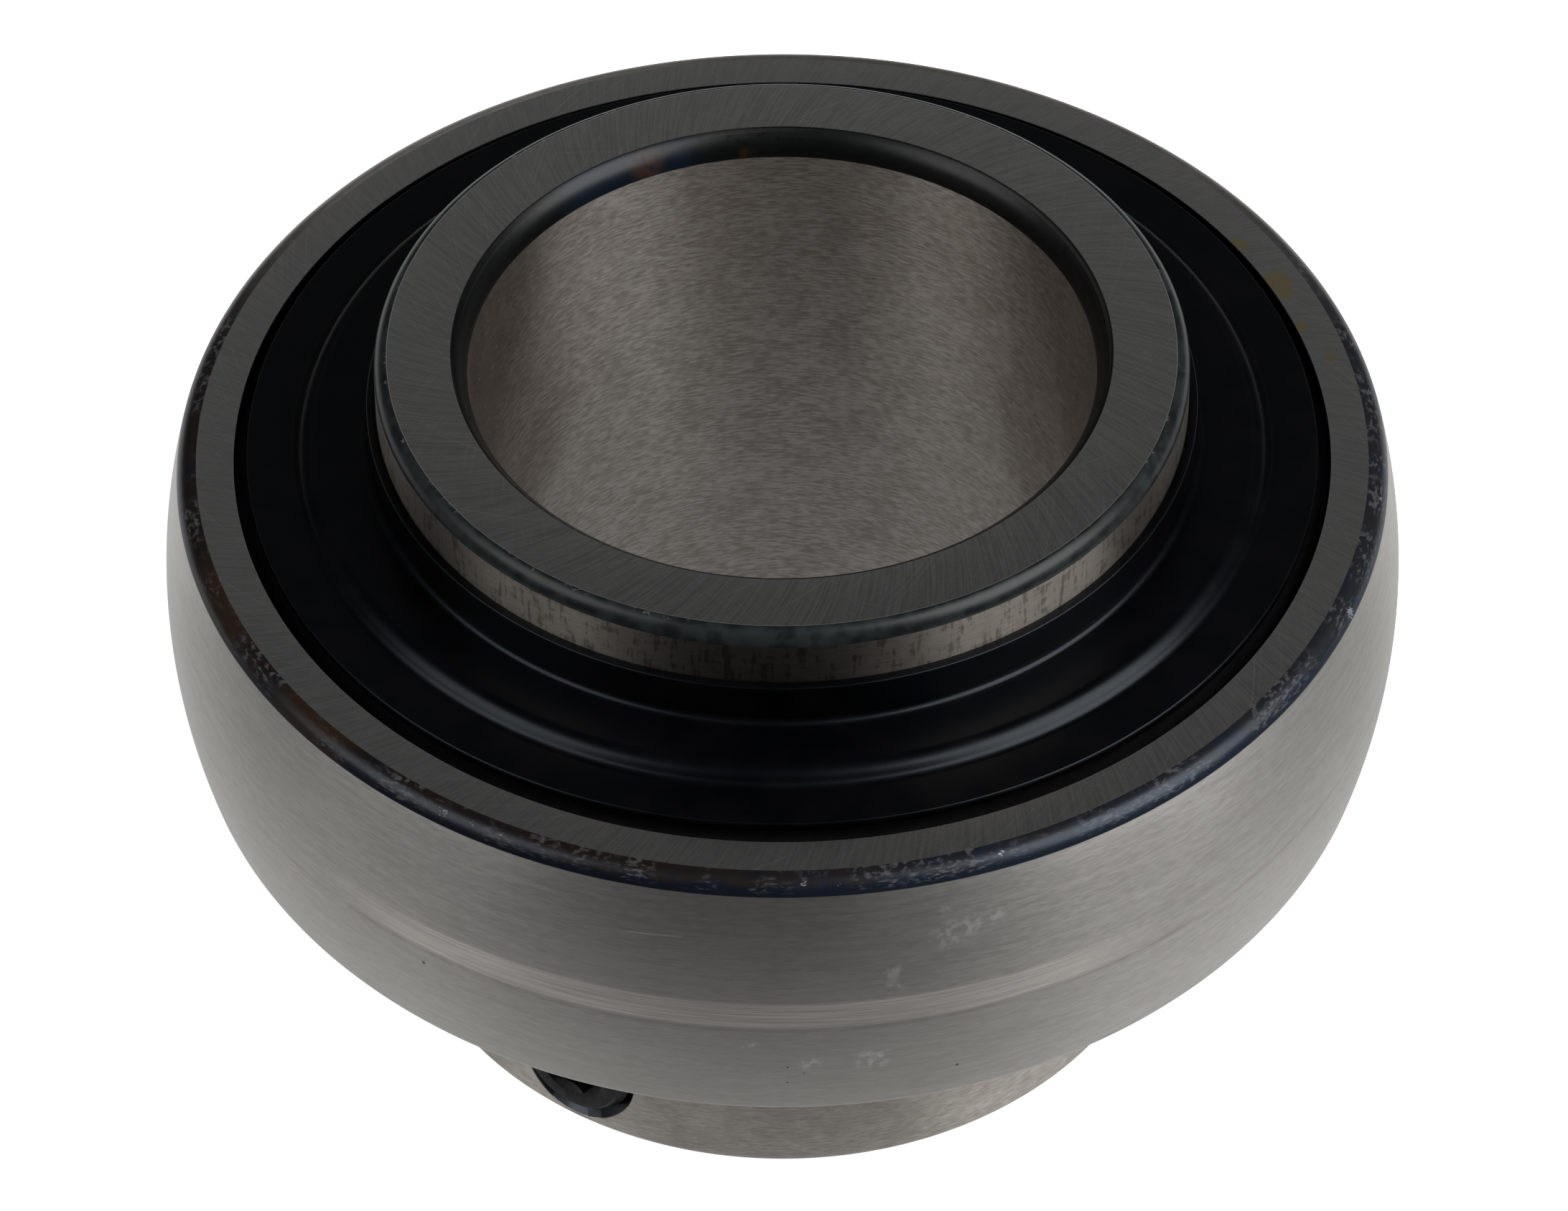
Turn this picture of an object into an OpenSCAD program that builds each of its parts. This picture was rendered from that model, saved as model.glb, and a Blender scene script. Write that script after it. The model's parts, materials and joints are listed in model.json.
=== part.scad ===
// Insert bearing: a sealed ball bearing whose outside is part of a sphere, so that it can tilt
// in its housing, and whose long inner ring is locked to the shaft by two grub screws.
// Millimetres. Z is the shaft's axis, and z = 0 is the face of the long side, on which it stands.

/* [Rings] */
// Diameter of the shaft bore
bore_d = 40; // [36:0.1:42]
// Wall of the inner ring
inner_wall = 5.9; // [5:0.1:6.7]
// Width of the inner ring, from face to face
inner_w = 49.2; // [44:0.1:56]
// Distance from the plane of the balls to the face of the short side
short_side = 19; // [17.5:0.1:22]
// Diameter of the sphere that the outer ring's outside belongs to
sphere_d = 80; // [79:0.1:86]
// Width of the outer ring
outer_w = 21; // [20.4:0.1:25]

/* [Corners] */
// Radius of the outer ring's corners
outer_corner_r = 1.3; // [0.5:0.1:1.8]
// How far the bore's rounded corner reaches along a face
bore_corner_radial = 1; // [0.4:0.1:1.6]
// How far the bore's rounded corner reaches along the bore
bore_corner_axial = 1.8; // [1.6:0.1:3]
// How far the inner ring's outer corner reaches along a face
rim_corner_radial = 0.8; // [0.3:0.1:1.1]
// How far the inner ring's outer corner reaches along its outside
rim_corner_axial = 1.1; // [1.1:0.1:2]

/* [Balls and raceways] */
// Number of balls
ball_count = 9; // [7:1:11]
// What the balls leave of the room between the inner ring and the sphere
rings_keep = 1.8; // [1.2:0.05:3]
// What the balls leave of the outer ring's width
sides_keep = 8.7; // [8:0.05:10]
// Radius of a raceway's groove as a share of the ball's diameter
groove_ratio = 0.52; // [0.51:0.005:0.54]
// Room between a ball and the bottom of each raceway
ball_play = 0.015; // [0.01:0.005:0.03]
// Depth of the outer ring's raceway as a share of the ball's diameter
outer_sink_share = 0.176; // [0.13:0.001:0.2]
// Depth of the inner ring's raceway as a share of the ball's diameter
inner_sink_share = 0.1667; // [0.13:0.0001:0.19]

/* [Cage] */
// Wall of the cage as a share of the ball's diameter
cage_wall_share = 0.41; // [0.3:0.01:0.45]
// Room between a ball and its pocket
pocket_play = 0.15; // [0.1:0.05:0.3]
// Wall of a pocket's claws as a share of the ball's diameter
claw_wall_share = 0.09; // [0.07:0.005:0.13]
// How far the claws rise past the plane of the balls, as a share of the ball's diameter
claw_rise_share = 0.21; // [0.13:0.01:0.32]
// Floor of the cage below a pocket as a share of the ball's diameter
cage_floor_share = 0.085; // [0.05:0.005:0.1]
// Height of the cage's ring between the pockets as a share of the ball's diameter
cage_ring_share = 0.27; // [0.17:0.01:0.4]

/* [Seals] */
// Step from the outer ring's shoulder up to the seat of the seal
seal_step = 1.15; // [0.8:0.05:1.6]
// Depth of the seal plate's outside below the outer ring's face
seal_depth = 1.3; // [1:0.05:1.5]
// Sheet of the seal plate
plate_t = 0.8; // [0.5:0.1:0.9]
// Share of the seal's width that is left to the rubber between the inner ring and the plate
lip_share = 0.3675; // [0.27:0.0005:0.48]
// Rubber over each side of the seal plate's inner edge
lip_cover = 0.35; // [0.2:0.05:0.4]
// How far the rubber grips over the seal plate
lip_grip = 1.2; // [0.8:0.1:2]
// Width of the rubber's body inside the seal plate's edge
lip_body = 0.6; // [0.4:0.1:1]
// How far the outer lip's edge stands past the seal plate
lip_rise = 0.7; // [0.3:0.1:1]
// Room between a lip's edge and the inner ring
lip_play = 0.05; // [0.02:0.01:0.1]
// Radius of a lip's edge
lip_edge_r = 0.25; // [0.15:0.05:0.35]

/* [Flingers] */
// Sheet of a flinger
flinger_t = 0.6; // [0.4:0.05:0.8]
// Room between a flinger's rim and the plane of the outer ring's face
flinger_lift = 0.05; // [0.05:0.05:0.5]
// Room between a flinger's rim and the seat of the seal
rim_play = 0.85; // [0.4:0.05:1.5]
// Flat outer band of a flinger as a share of its width from the collar's foot to the rim
band_share = 0.377; // [0.2:0.001:0.44]
// Step of a flinger as a share of the same width
step_share = 0.233; // [0.2:0.001:0.3]
// Height of a flinger's step as a share of the step's width
step_slope = 0.5; // [0.3:0.01:0.6]
// Height of a flinger's collar above its inner band
collar_h = 2.95; // [1.5:0.05:4]
// Inside radius of the bend at a collar's foot
bend_r = 0.5; // [0.2:0.1:1]
// Rounding of a flinger's cut edges
edge_r = 0.12; // [0.05:0.01:0.15]

/* [Grub screws] */
// Thread diameter of a grub screw
screw_d = 8; // [6:0.5:9]
// Height of the screws' axes above the long side's face
screw_height = 5.6; // [5.5:0.1:9]
// Angle of the first screw round the shaft, from the X axis
screw_angle = 238; // [0:1:359]
// Angle from the first screw to the second
screw_spacing = 120; // [60:1:180]
// How far a screw's outer end stands out of the inner ring
screw_proud = 0.4; // [-0.5:0.1:1]
// Room between a screw's tip and the shaft bore
tip_play = 0.2; // [0.1:0.05:0.6]
// Room round a screw in its hole
thread_play = 0.05; // [0.03:0.01:0.1]
// Chamfer of a screw's ends
screw_chamfer = 0.6; // [0.3:0.1:0.9]
// Width of the hexagon socket across its flats
socket_w = 4; // [3:0.1:4.5]
// Depth of the hexagon socket
socket_depth = 3; // [1.5:0.1:3.6]
// Lead-in round the corners of the hexagon socket
socket_lead = 0.15; // [0.05:0.05:0.3]
// Turn of the hexagon socket about the screw's axis
socket_turn = 22; // [0:1:59]
// Depth of the hollow in a screw's cup point
cup_depth = 0.8; // [0.3:0.1:1]
// Radius of the hollow in a screw's cup point
cup_r = 1.9; // [1:0.1:2.1]
// Width of the chamfer at the mouth of a screw's hole
mouth_chamfer = 0.45; // [0.2:0.05:0.8]

/* [Lubrication holes] */
// Diameter of a lubrication hole
oil_hole_d = 2; // [1:0.1:2.4]
// Angle of the hole on the short side round the shaft, from the X axis
oil_hole_angle = 30; // [0:1:359]
// Angle from that hole to the one on the long side
oil_hole_spacing = 120; // [60:1:180]

/* [Hidden] */
$fn = 128;

// Cuts run this far past what they cut.
past = 1;
// Sizes that follow from a share are rounded to these steps, so that neighbours meet.
fine = 0.005;
bend_fine = 0.02;

function rounded(size, unit) = unit * round(size / unit);

bore_r = bore_d / 2;
inner_r = bore_r + inner_wall;
long_side = inner_w - short_side;
sphere_r = sphere_d / 2;
half_w = outer_w / 2;

// The balls are as large as the rings allow, across and along.
ball_d = min(sphere_r - inner_r - rings_keep, outer_w - sides_keep);
ball_r = ball_d / 2;
pitch_r = inner_r + ball_r - rounded(inner_sink_share * ball_d, fine);
groove_r = groove_ratio * ball_d;
inner_race_r = pitch_r - ball_r - ball_play;
outer_race_r = pitch_r + ball_r + ball_play;
inner_groove_c = inner_race_r + groove_r;
outer_groove_c = outer_race_r - groove_r;
outer_land_r = outer_race_r - rounded(outer_sink_share * ball_d, fine);
outer_race_half_w = sqrt(groove_r * groove_r - pow(outer_land_r - outer_groove_c, 2));

pocket_r = ball_r + pocket_play;
cage_wall = rounded(cage_wall_share * ball_d, fine);
cage_back = pocket_r + rounded(cage_floor_share * ball_d, fine);
claw_wall = rounded(claw_wall_share * ball_d, fine);
claw_rise = rounded(claw_rise_share * ball_d, fine);
cage_ring_h = rounded(cage_ring_share * ball_d, fine);

seat_r = outer_land_r + seal_step;
plate_out = half_w - seal_depth;
plate_in = plate_out - plate_t;
plate_mid = (plate_out + plate_in) / 2;
bead_r = plate_t / 2;
plate_hole_r = inner_r + rounded(lip_share * (seat_r - inner_r), fine);

flinger_under = half_w + flinger_lift;
rim_r = seat_r - rim_play;
rim_top = flinger_under + flinger_t;
foot_r = inner_r + flinger_t + bend_r;
rim_band = rounded(band_share * (rim_r - foot_r), fine);
step_run = rounded(step_share * (rim_r - foot_r), bend_fine);
step_rise = step_slope * step_run;
dish_top = rim_top + step_rise;
collar_top = dish_top + collar_h;
step_out_r = rim_r - rim_band;
step_in_r = step_out_r - step_run;
// Two equal arcs make the step: the angle that each turns, and its inside radius.
step_turn = 2 * atan(step_rise / step_run);
step_r = (step_run / sin(step_turn) - flinger_t) / 2;

screw_r = screw_d / 2 - thread_play;
screw_tip = bore_r + tip_play;
screw_end = inner_r + screw_proud;
screw_len = screw_end - screw_tip;
socket_r = socket_w / 2 / cos(30);
socket_mouth_r = socket_r + socket_lead;
// The hole's chamfer starts below the lowest point of its mouth on the round outside.
mouth_low = sqrt(inner_r * inner_r - screw_d * screw_d / 4) - mouth_chamfer;

oil_hole_height = (outer_race_half_w + plate_in) / 2;

// What rounds a square corner at the origin away, with the material below and to the left.
// The arc meets the wall on the right smoothly and the face on top at an edge.
module corner_cut(radial, axial) {
    arc_r = (radial * radial + axial * axial) / (2 * radial);
    difference() {
        translate([-radial, -axial]) square([radial + past, axial + past]);
        translate([-arc_r, -axial]) circle(r = arc_r);
    }
}

// A slice of the plane between two directions from the origin, less than half a turn apart.
module slice(reach, from, to) {
    far = reach / cos((to - from) / 2);
    middle = (from + to) / 2;
    polygon([
        [0, 0],
        far * [cos(from), sin(from)],
        far * [cos(middle), sin(middle)],
        far * [cos(to), sin(to)]
    ]);
}

// A bend in sheet: part of a band between two circles.
module bent_band(inside, thickness, from, to) {
    intersection() {
        difference() {
            circle(r = inside + thickness);
            circle(r = inside);
        }
        slice(inside + thickness + past, from, to);
    }
}

// Turns a section that is drawn from the plane of the balls, and sets it in its place.
module turned() {
    translate([0, 0, long_side]) rotate_extrude() children();
}

// The same piece on the other side of the balls.
module other_side() {
    translate([0, 0, 2 * long_side]) mirror([0, 0, 1]) children();
}

module inner_section() {
    difference() {
        translate([bore_r, -long_side]) square([inner_r - bore_r, inner_w]);
        translate([inner_groove_c, 0]) circle(r = groove_r);
        translate([inner_r, short_side]) corner_cut(rim_corner_radial, rim_corner_axial);
        translate([inner_r, -long_side])
            mirror([0, 1]) corner_cut(rim_corner_radial, rim_corner_axial);
        translate([bore_r, short_side])
            mirror([1, 0]) corner_cut(bore_corner_radial, bore_corner_axial);
        translate([bore_r, -long_side])
            mirror([1, 0]) mirror([0, 1]) corner_cut(bore_corner_radial, bore_corner_axial);
    }
}

// What rounds the outer ring's upper corner away, between its face and the sphere.
module sphere_corner_cut() {
    centre_h = half_w - outer_corner_r;
    centre_r = sqrt(pow(sphere_r - outer_corner_r, 2) - centre_h * centre_h);
    translate([centre_r, centre_h]) difference() {
        slice(2 * outer_corner_r, atan2(centre_h, centre_r), 90);
        circle(r = outer_corner_r);
    }
}

// The room for a seal, with the groove that its plate snaps into.
module seal_room() {
    translate([0, plate_in]) square([seat_r, half_w]);
    translate([seat_r, plate_mid]) circle(r = bead_r);
}

module outer_section() {
    difference() {
        intersection() {
            circle(r = sphere_r);
            translate([outer_land_r, -half_w]) square([sphere_r, outer_w]);
        }
        translate([outer_groove_c, 0]) circle(r = groove_r);
        for (side = [0, 1]) mirror([0, side]) {
            sphere_corner_cut();
            seal_room();
        }
    }
}

module plate_section() {
    translate([plate_hole_r, plate_in]) square([seat_r - plate_hole_r, plate_t]);
    translate([seat_r, plate_mid]) circle(r = bead_r);
}

// One lip, from the middle of the rubber's body to its edge on the inner ring.
module lip(root_h, edge_h) {
    root_x = plate_hole_r - lip_body / 2;
    root_t = plate_t / 2;
    edge_x = inner_r + lip_play + lip_edge_r;
    polygon([
        [root_x, root_h - root_t],
        [root_x, root_h + root_t],
        [edge_x, edge_h + lip_edge_r],
        [edge_x, edge_h - lip_edge_r]
    ]);
    translate([edge_x, edge_h]) circle(r = lip_edge_r);
}

module lip_section() {
    difference() {
        union() {
            translate([plate_hole_r - lip_body, plate_in - lip_cover])
                square([lip_body + lip_grip, plate_t + 2 * lip_cover]);
            lip(plate_mid + lip_cover, plate_out + lip_rise);
            lip(plate_mid - lip_cover, plate_in);
        }
        plate_section();
    }
}

// A cut edge of the sheet at the origin, rounded, with the sheet below and to the left.
module edge_cut() {
    corner_cut(edge_r, edge_r);
}

module flinger_section() {
    bend_h = dish_top + bend_r;
    difference() {
        translate([inner_r, bend_h]) square([flinger_t, collar_top - bend_h]);
        translate([inner_r + flinger_t, collar_top]) edge_cut();
    }
    translate([foot_r, bend_h]) bent_band(bend_r, flinger_t, 180, 270);
    translate([foot_r, dish_top - flinger_t]) square([step_in_r - foot_r, flinger_t]);
    translate([step_in_r, dish_top - flinger_t - step_r])
        bent_band(step_r, flinger_t, 90 - step_turn, 90);
    translate([step_out_r, rim_top + step_r])
        bent_band(step_r, flinger_t, 270 - step_turn, 270);
    difference() {
        translate([step_out_r, flinger_under]) square([rim_band, flinger_t]);
        translate([rim_r, rim_top]) edge_cut();
    }
}

// Sets what is drawn along X at a screw's height and angle.
module at_screw(number) {
    translate([0, 0, screw_height])
        rotate([0, 0, screw_angle + (number - 1) * screw_spacing]) rotate([0, 90, 0]) children();
}

module screw_hole() {
    cylinder(r = screw_d / 2, h = inner_r + past);
    translate([0, 0, mouth_low]) {
        depth = inner_r + past - mouth_low;
        cylinder(r1 = screw_d / 2, r2 = screw_d / 2 + depth, h = depth);
    }
}

module outer_ring() {
    color("#8b8782") difference() {
        turned() outer_section();
        for (side = [-1, 1])
            translate([0, 0, long_side + side * oil_hole_height])
                rotate([0, 0, oil_hole_angle + (1 - side) / 2 * oil_hole_spacing])
                    rotate([0, 90, 0]) translate([0, 0, outer_land_r - past])
                        cylinder(d = oil_hole_d, h = sphere_r);
    }
}

module inner_ring() {
    color("#7d7974") difference() {
        turned() inner_section();
        for (number = [1, 2]) at_screw(number) screw_hole();
    }
}

module ball(number) {
    turn = (number - 1) * 360 / ball_count;
    color("#c9cacc") rotate([0, 0, turn]) translate([pitch_r, 0, long_side]) sphere(r = ball_r);
}

// The space between the claws of two neighbouring pockets, drawn in the plane across the shaft's
// radius: it follows the round outside of both claws.
module claw_gap() {
    apart = pitch_r * sin(180 / ball_count);
    floor_h = cage_ring_h - cage_back;
    difference() {
        translate([-apart, floor_h]) square([2 * apart, claw_rise - floor_h + past]);
        for (side = [-1, 1]) translate([side * apart, 0]) circle(r = pocket_r + claw_wall);
    }
}

// A snap cage: a ring behind the balls, with two claws round each ball.
module cage() {
    inside = pitch_r - cage_wall / 2;
    color("#2a2a2b") difference() {
        turned() translate([inside, -cage_back]) square([cage_wall, claw_rise + cage_back]);
        for (i = [1 : ball_count]) {
            turn = (i - 1) * 360 / ball_count;
            rotate([0, 0, turn]) translate([pitch_r, 0, long_side]) sphere(r = pocket_r);
            rotate([0, 0, turn + 180 / ball_count]) translate([inside - past, 0, long_side])
                rotate([90, 0, 90]) linear_extrude(height = cage_wall + 3 * past) claw_gap();
        }
    }
}

module seal_plate() {
    color("#55565a") turned() plate_section();
}

module seal_lip() {
    color("#1a1a1c") turned() lip_section();
}

module flinger() {
    color("#14161c") turned() flinger_section();
}

// Stands along Z from its cup point to its socket, at its distance from the shaft's axis.
module screw_blank() {
    end_r = screw_r - screw_chamfer;
    translate([0, 0, screw_tip]) rotate_extrude() polygon([
        [0, cup_depth],
        [cup_r, 0],
        [end_r, 0],
        [screw_r, screw_chamfer],
        [screw_r, screw_len - screw_chamfer],
        [end_r, screw_len],
        [0, screw_len]
    ]);
}

module grub_screw(number) {
    mouth_h = socket_mouth_r - socket_w / 2;
    color("#1d1e21") at_screw(number) difference() {
        screw_blank();
        translate([0, 0, screw_end - socket_depth]) rotate([0, 0, socket_turn])
            cylinder(r = socket_r, h = socket_depth + past, $fn = 6);
        translate([0, 0, screw_end - mouth_h])
            cylinder(r1 = socket_w / 2, r2 = socket_mouth_r + past, h = mouth_h + past);
    }
}

outer_ring();
inner_ring();
cage();
for (i = [1 : ball_count]) ball(i);
seal_plate();  // upper_seal_plate
seal_lip();  // upper_seal_lip
other_side() seal_plate();  // lower_seal_plate
other_side() seal_lip();  // lower_seal_lip
flinger();  // upper_flinger
other_side() flinger();  // lower_flinger
grub_screw(1);  // grub_screw_1
grub_screw(2);  // grub_screw_2
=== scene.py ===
# %% [markdown]
# # An insert bearing on a white table
#
# An insert bearing is a ball bearing for a bolted housing. Its outside is part of a sphere, so it
# can tilt until it lines up with the shaft, and its long inner ring is locked on the shaft by two
# grub screws. The CAD model holds its construction. Here it gets its looks: smooth turned steel
# with the marks of the grinding wheel, black sheet, rubber and a soft studio light.
#
# The first cell loads the CAD model as a fixed frame. Nothing in it is moved.

# %% Load the bearing
import json
import math

import bpy
from mathutils import Matrix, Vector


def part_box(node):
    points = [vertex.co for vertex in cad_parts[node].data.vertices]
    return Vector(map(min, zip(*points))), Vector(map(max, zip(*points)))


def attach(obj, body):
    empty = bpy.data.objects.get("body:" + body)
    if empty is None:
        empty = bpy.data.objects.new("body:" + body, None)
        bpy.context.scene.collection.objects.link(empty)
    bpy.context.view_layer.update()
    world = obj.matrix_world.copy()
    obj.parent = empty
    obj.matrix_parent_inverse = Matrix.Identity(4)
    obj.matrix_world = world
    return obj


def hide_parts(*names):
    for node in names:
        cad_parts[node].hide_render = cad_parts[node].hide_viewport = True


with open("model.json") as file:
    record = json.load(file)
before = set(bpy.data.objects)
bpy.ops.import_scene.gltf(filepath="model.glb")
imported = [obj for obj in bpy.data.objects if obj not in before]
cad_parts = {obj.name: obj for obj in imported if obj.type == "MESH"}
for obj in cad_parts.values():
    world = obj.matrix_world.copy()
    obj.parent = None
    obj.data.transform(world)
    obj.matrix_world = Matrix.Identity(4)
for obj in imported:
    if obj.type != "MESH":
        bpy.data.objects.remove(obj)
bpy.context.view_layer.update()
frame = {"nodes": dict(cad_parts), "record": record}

nodes = frame["nodes"]
record = frame["record"]
print("nodes loaded:", len(nodes))

# %% [markdown]
# ## Sizes
#
# The sections of the rings are drawn again below, so their sizes are needed. What the model can
# tell is read from it: a node's box gives its outside, and the record gives the bore. Lengths are
# in millimetres until a mesh is made, because that is how a bearing is dimensioned. Heights in a
# section are counted from the plane of the balls, where the bearing has its middle.

# %% Read the main sizes
MM = 0.001
outer_low, outer_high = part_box("outer_ring")
inner_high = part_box("inner_ring")[1]
mounts = {mount["name"]: mount for mount in record["mounts"]}

sphere_r = round(outer_high.x / MM, 1)
half_width = round((outer_high.z - outer_low.z) / 2 / MM, 2)
ball_plane = round((outer_high.z + outer_low.z) / 2 / MM, 2)
bore_r = mounts["shaft_bore"]["dims"]["r_mm"]
inner_r = round(inner_high.x / MM, 1)
short_side = round(inner_high.z / MM, 1) - ball_plane
long_side = ball_plane
print("sphere", sphere_r, "bore", bore_r, "inner ring", inner_r, "half width", half_width)

# %% [markdown]
# ## Turning a section
#
# Rings, flingers and screws come off a lathe, and Blender has the same trick: draw half of the
# section as a line and spin it once round the axis. The line is drawn as by hand, by extruding one
# vertex from corner to corner. The CAD nodes already have these forms, but as loose flat
# triangles, and a satin metal shows every one of them. A spun mesh has shared vertices, so it can
# be shaded smooth, and its hard edges can be softened by a bevel that catches the light.

# %% Helpers that draw and turn
SPIN_STEPS = 360
SAME_SPOT = 0.001 * MM


def arc(centre, radius, start, end, steps=8):
    """Points on an arc of a section, between two angles in degrees."""
    points = []
    for step in range(steps + 1):
        turn = math.radians(start + (end - start) * step / steps)
        points.append((centre[0] + radius * math.cos(turn), centre[1] + radius * math.sin(turn)))
    return points


def draw_outline(name, points, lift=0.0):
    """Extrudes one vertex along the points of a section, back to where it began."""
    bpy.ops.object.select_all(action="DESELECT")
    first = (points[0][0] * MM, 0, (points[0][1] + lift) * MM)
    bpy.ops.mesh.primitive_plane_add(size=MM, location=first)
    outline = bpy.context.object
    outline.name = name
    bpy.ops.object.mode_set(mode="EDIT")
    bpy.ops.mesh.select_all(action="SELECT")
    bpy.ops.mesh.merge(type="CENTER")
    for here, there in zip(points, points[1:] + points[:1]):
        step = ((there[0] - here[0]) * MM, 0, (there[1] - here[1]) * MM)
        bpy.ops.mesh.extrude_region_move(TRANSFORM_OT_translate={"value": step})
    bpy.ops.mesh.select_all(action="SELECT")
    bpy.ops.mesh.remove_doubles(threshold=SAME_SPOT)
    bpy.ops.object.mode_set(mode="OBJECT")
    bpy.ops.object.transform_apply(location=True, rotation=True, scale=True)
    return outline


def turn_on_lathe(outline, steps=SPIN_STEPS):
    """Spins an outline once round the Z axis, closes the seam and points its faces outwards."""
    bpy.ops.object.mode_set(mode="EDIT")
    bpy.ops.mesh.select_all(action="SELECT")
    bpy.ops.mesh.spin(steps=steps, angle=math.tau, center=(0, 0, 0), axis=(0, 0, 1))
    bpy.ops.mesh.select_all(action="SELECT")
    bpy.ops.mesh.remove_doubles(threshold=SAME_SPOT)
    bpy.ops.mesh.normals_make_consistent(inside=False)
    bpy.ops.object.mode_set(mode="OBJECT")
    return outline


print("the lathe turns in", SPIN_STEPS, "steps")

# %% [markdown]
# A real edge is never quite sharp, and its small round catches the light, so each turned piece
# gets a narrow bevel. Smooth shading alone would then bend the reflections on the flat faces
# beside it. Weighted normals keep those faces flat, so that they mirror as a plane does.

# %% Helpers that soften edges
def select_only(piece):
    bpy.ops.object.select_all(action="DESELECT")
    piece.select_set(True)
    bpy.context.view_layer.objects.active = piece


def shade(piece, angle=25):
    """Shades smooth, and lets large flat faces stay flat beside their small bevels."""
    select_only(piece)
    bpy.ops.object.shade_smooth_by_angle(angle=math.radians(angle))
    even = piece.modifiers.new("Even normals", "WEIGHTED_NORMAL")
    even.keep_sharp = True
    bpy.ops.object.modifier_apply(modifier=even.name)
    return piece


def soften(piece, width, angle=25):
    """Bevels the hard edges a little, and shades the rest smooth."""
    select_only(piece)
    bevel = piece.modifiers.new("Soft edges", "BEVEL")
    bevel.width = width * MM
    bevel.segments = 2
    bevel.limit_method = "ANGLE"
    bevel.angle_limit = math.radians(angle)
    bpy.ops.object.modifier_apply(modifier=bevel.name)
    return shade(piece, angle)


print("edges are softened in two segments")

# %% [markdown]
# ## Outer ring
#
# The outside is a slice of a sphere. It could be a ball cut by two planes, but its rows of faces
# would not follow the corners, so it is one long arc of the turned section. Inside there is the
# ball groove, and on each side a step in which a seal snaps. The bead of the seal's plate sits in
# a small round groove. Both halves are the same, so one half is drawn and mirrored.

# %% Outer ring
groove_r = 6.396
outer_groove_c = 29.769
outer_land_r = 34.0
seat_r = outer_land_r + 1.15
plate_out = half_width - 1.3
plate_in = plate_out - 0.8
bead_r = 0.4
outer_corner_r = 1.3

corner_h = half_width - outer_corner_r
corner_c = math.sqrt((sphere_r - outer_corner_r) ** 2 - corner_h ** 2)
corner_turn = math.degrees(math.atan2(corner_h, corner_c))
land_turn = math.degrees(math.acos((outer_land_r - outer_groove_c) / groove_r))
bead_middle = (plate_in + plate_out) / 2


def mirrored(points):
    """The same line on the other side of the balls, drawn the other way round."""
    return [(radius, -height) for radius, height in reversed(points)]


outer_half = arc((corner_c, corner_h), outer_corner_r, corner_turn, 90, 10)[1:]
outer_half += [(seat_r, half_width)]
outer_half += arc((seat_r, bead_middle), bead_r, 90, -90, 8)
outer_half += [(outer_land_r, plate_in)]
sphere_line = arc((0, 0), sphere_r, -corner_turn, corner_turn, 28)
groove_line = arc((outer_groove_c, 0), groove_r, land_turn, -land_turn, 24)

outer_ring = draw_outline(
    "outer_ring_turned",
    sphere_line + outer_half + groove_line + mirrored(outer_half),
    lift=ball_plane,
)
turn_on_lathe(outer_ring)
soften(outer_ring, 0.06)
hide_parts("outer_ring")
print("outer ring:", len(outer_ring.data.polygons), "faces")

# %% [markdown]
# Two small holes let grease in, one on each side of the ball groove. They lie on the far side of
# the ring. Each is cut by a cylinder that points outwards from the shaft's axis.

# %% Lubrication holes
oil_hole_r = 1.0
oil_hole_height = 6.6
oil_drill_len = 12
oil_holes = ((oil_hole_height, 30), (-oil_hole_height, 150))


def cut(piece, cutter):
    """Cuts one solid out of another, and deletes the cutter."""
    select_only(piece)
    boolean = piece.modifiers.new("Cut", "BOOLEAN")
    boolean.operation = "DIFFERENCE"
    boolean.solver = "EXACT"
    boolean.object = cutter
    bpy.ops.object.modifier_apply(modifier=boolean.name)
    bpy.data.objects.remove(cutter)
    return piece


for height, turn in oil_holes:
    across = math.radians(turn)
    middle = (outer_land_r + sphere_r) / 2
    bpy.ops.object.select_all(action="DESELECT")
    bpy.ops.mesh.primitive_cylinder_add(
        vertices=48,
        radius=oil_hole_r * MM,
        depth=oil_drill_len * MM,
        location=(middle * math.cos(across) * MM, middle * math.sin(across) * MM,
                  (ball_plane + height) * MM),
        rotation=(0, math.pi / 2, across),
    )
    cut(outer_ring, bpy.context.object)
shade(outer_ring)
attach(outer_ring, "outer")
print("outer ring with its holes:", len(outer_ring.data.polygons), "faces")

# %% [markdown]
# ## Inner ring
#
# The inner ring is a plain tube with the inner ball groove round its outside. Its corners are not
# quarter circles: a shaft has to find its way into the bore, so the corner there runs into the
# bore smoothly and meets the face at an edge. The same outline function serves all four corners.

# %% Inner ring
inner_groove_c = 30.231
bore_corner = (1.0, 1.8)
rim_corner = (0.8, 1.1)


def eased_corner(radial, axial, steps=10):
    """A corner in its own axes: out from the face's edge, then down to where it meets the wall."""
    radius = (radial ** 2 + axial ** 2) / (2 * radial)
    start = math.degrees(math.atan2(axial, radius - radial))
    return arc((-radius, -axial), radius, start, 0, steps)


def placed(points, wall, face, flip=1):
    """Sets a corner at a wall and a face. A flip of -1 turns it to face the shaft."""
    return [(wall + flip * across, face + up) for across, up in points]


rim_line = placed(eased_corner(*rim_corner), inner_r, short_side)
bore_line = placed(eased_corner(*bore_corner), bore_r, short_side, flip=-1)
inner_land = math.degrees(math.acos((inner_r - inner_groove_c) / groove_r))
inner_outline = bore_line[::-1] + rim_line
inner_outline += arc((inner_groove_c, 0), groove_r, inner_land, 360 - inner_land, 24)
inner_outline += [(r, short_side - long_side - h) for r, h in reversed(rim_line)]
inner_outline += [(r, short_side - long_side - h) for r, h in bore_line]

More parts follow.
